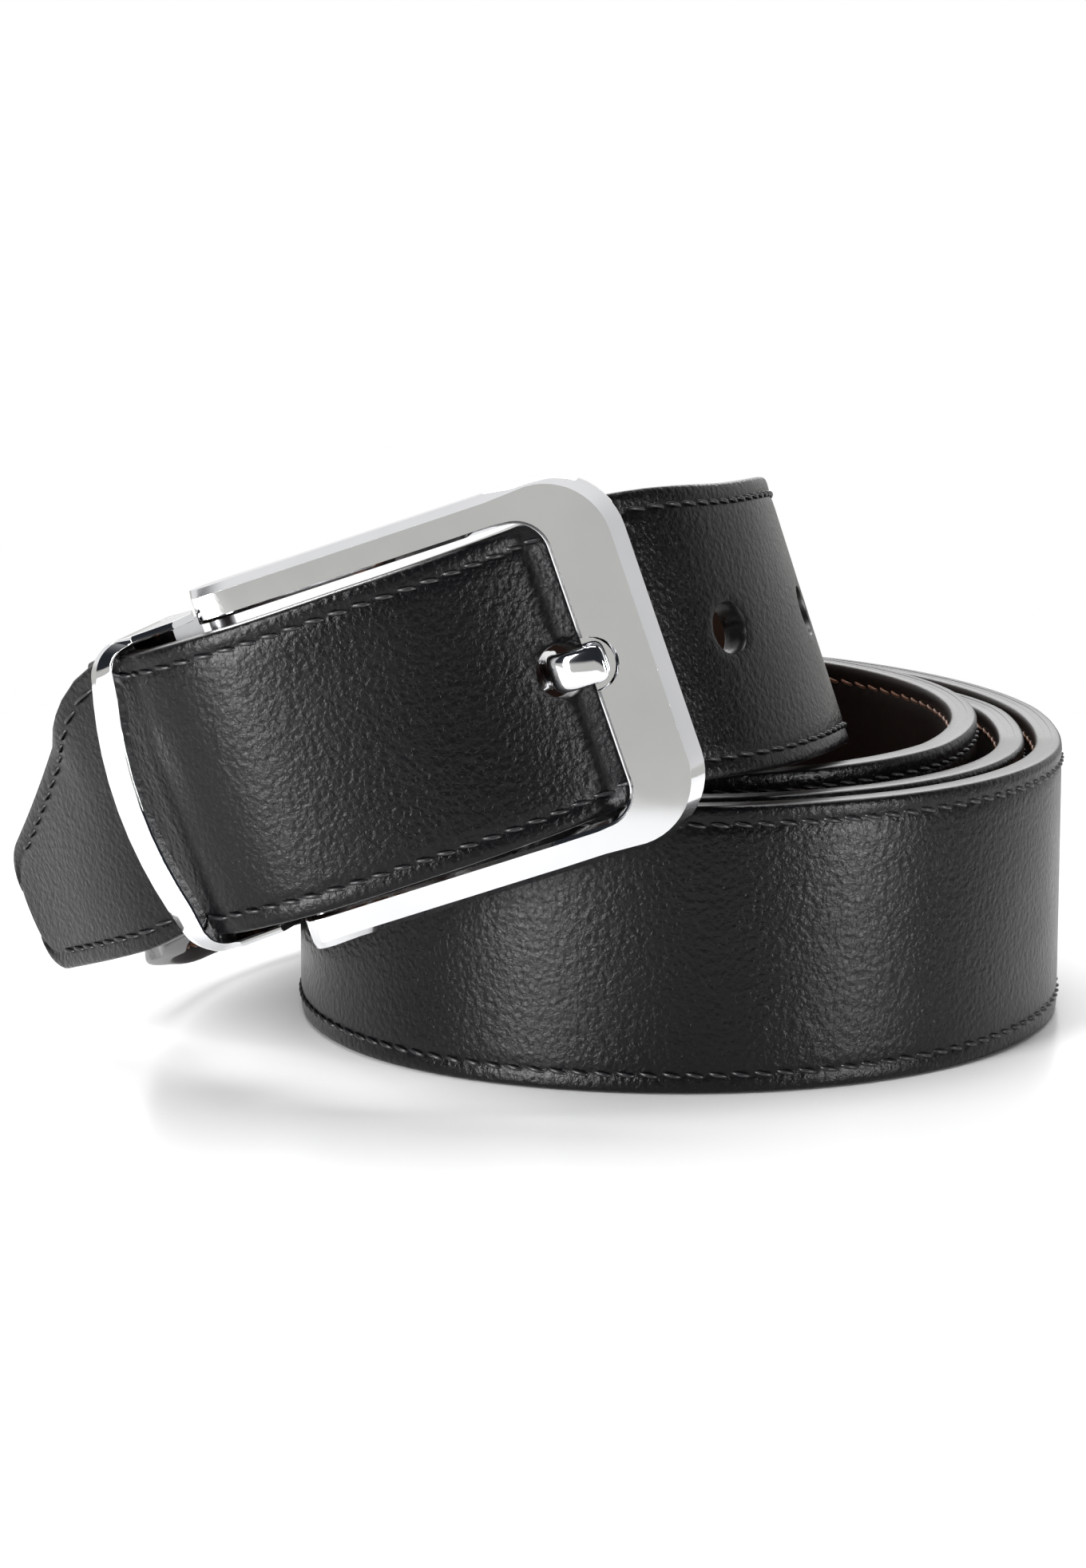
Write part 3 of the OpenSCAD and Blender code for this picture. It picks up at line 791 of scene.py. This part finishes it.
# the parts whose shape is already right get softened edges and their finish
plainParts = {
    "clamp_box": (sheetPlate, 0.25), "clamp_plate": (sheetPlate, 0.2), "swivel_yoke": (mirrorPlate, 0.3),
    "heel_pin": (turnedSteel, 0.2), "swivel_stud": (turnedSteel, 0.1), "spring_washer": (turnedSteel, 0.03),
    "retaining_washer": (turnedSteel, 0.1), "clamp_screws": (turnedSteel, 0.15),
    "keeper_rivets": (turnedSteel, 0.1),
}
for node, (mat, width) in plainParts.items():
    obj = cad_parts[node]
    obj.data.materials.clear()
    obj.data.materials.append(mat)
    addBevel(obj, width, angle=40, segments=2)
print("clamp, keeper and swivel finished")


camera = {"place": (-17.0, -525.0, 121.0), "down": 10.04, "lens": 93.06}
camData = bpy.data.cameras.new("camera")
camData.lens = camera["lens"]
camData.sensor_width = 36
camData.clip_start = 0.01
camObj = bpy.data.objects.new("camera", camData)
camObj.location = (Vector(camera["place"]) + shift) * mm
camObj.rotation_euler = (math.radians(90 - camera["down"]), 0, 0)
bpy.context.scene.collection.objects.link(camObj)
bpy.context.scene.camera = camObj

floorLook = {"radius": 260.0, "height": -0.15, "colour": "#f4f4f4", "roughness": 0.22}
bm = bmesh.new()
bmesh.ops.create_circle(bm, cap_ends=True, radius=floorLook["radius"] * mm, segments=96)
floorMesh = bpy.data.meshes.new("floor")
bm.to_mesh(floorMesh)
bm.free()
floor = bpy.data.objects.new("floor", floorMesh)
floor.location.z = floorLook["height"] * mm
bpy.context.scene.collection.objects.link(floor)
# cast acrylic sheet, half glossy: a faint mirror image under the belt
floorMat, _, floorShader, _ = startMaterial("whiteAcrylicTable")
floorShader.inputs["Base Color"].default_value = srgb(floorLook["colour"])
floorShader.inputs["Roughness"].default_value = floorLook["roughness"]
floorShader.inputs["IOR"].default_value = 1.4
floorMesh.materials.append(floorMat)

lights = {
    # name: (azimuth from the front, towards the right; height; distance; width; tall; power)
    "leftTall": (-38, 150, 620, 200, 560, 8.5),
    "rightTall": (53, 40, 640, 110, 240, 2.6),
    "overhead": (0, 700, -40, 460, 360, 3.4),
    "backWash": (180, 380, 620, 700, 300, 2.4),
}
for name, (around, height, distance, wide, tall, power) in lights.items():
    data = bpy.data.lights.new(name, "AREA")
    data.shape = "RECTANGLE"
    data.size = wide * mm
    data.size_y = tall * mm
    data.energy = power
    lamp = bpy.data.objects.new(name, data)
    a = math.radians(around)
    lamp.location = (distance * mm * math.sin(a), -distance * mm * math.cos(a), height * mm)
    aim = Vector((0, 0, 0.03)) - lamp.location
    lamp.rotation_euler = aim.to_track_quat("-Z", "Y").to_euler()
    bpy.context.scene.collection.objects.link(lamp)

room = {"behind": "#ffffff", "front": "#2a2d33", "below": "#d2d1cd", "seen": 1.0, "strength": 0.9}
world = bpy.data.worlds.new("white room")
bpy.context.scene.world = world
world.use_nodes = True
tree = world.node_tree
tree.nodes.clear()
way = addNode(tree, "ShaderNodeTexCoord")
split = addNode(tree, "ShaderNodeSeparateXYZ", links={"Vector": way.outputs["Generated"]})
backness = addNode(tree, "ShaderNodeMapRange", {"From Min": 0.0, "From Max": 0.4},
                   {"Value": split.outputs["Y"]}, interpolation_type="SMOOTHSTEP")
lowness = addNode(tree, "ShaderNodeMapRange", {"From Min": 0.02, "From Max": -0.06},
                  {"Value": split.outputs["Z"]}, interpolation_type="SMOOTHSTEP")
wall = addNode(tree, "ShaderNodeMix", {"A": srgb(room["front"]), "B": srgb(room["behind"])},
               {"Factor": backness.outputs["Result"]}, data_type="RGBA")
around = addNode(tree, "ShaderNodeMix", {"B": srgb(room["below"])},
                 {"Factor": lowness.outputs["Result"], "A": wall.outputs[2]}, data_type="RGBA")
lit = addNode(tree, "ShaderNodeBackground", {"Strength": room["strength"]}, {"Color": around.outputs[2]})
seen = addNode(tree, "ShaderNodeBackground", {"Strength": room["seen"], "Color": (1, 1, 1, 1)})
path = addNode(tree, "ShaderNodeLightPath")
both = addNode(tree, "ShaderNodeMixShader")
tree.links.new(path.outputs["Is Camera Ray"], both.inputs[0])
tree.links.new(lit.outputs[0], both.inputs[1])
tree.links.new(seen.outputs[0], both.inputs[2])
out = addNode(tree, "ShaderNodeOutputWorld")
tree.links.new(both.outputs[0], out.inputs["Surface"])
bpy.context.scene.view_settings.view_transform = "Standard"
print("camera and lights placed")
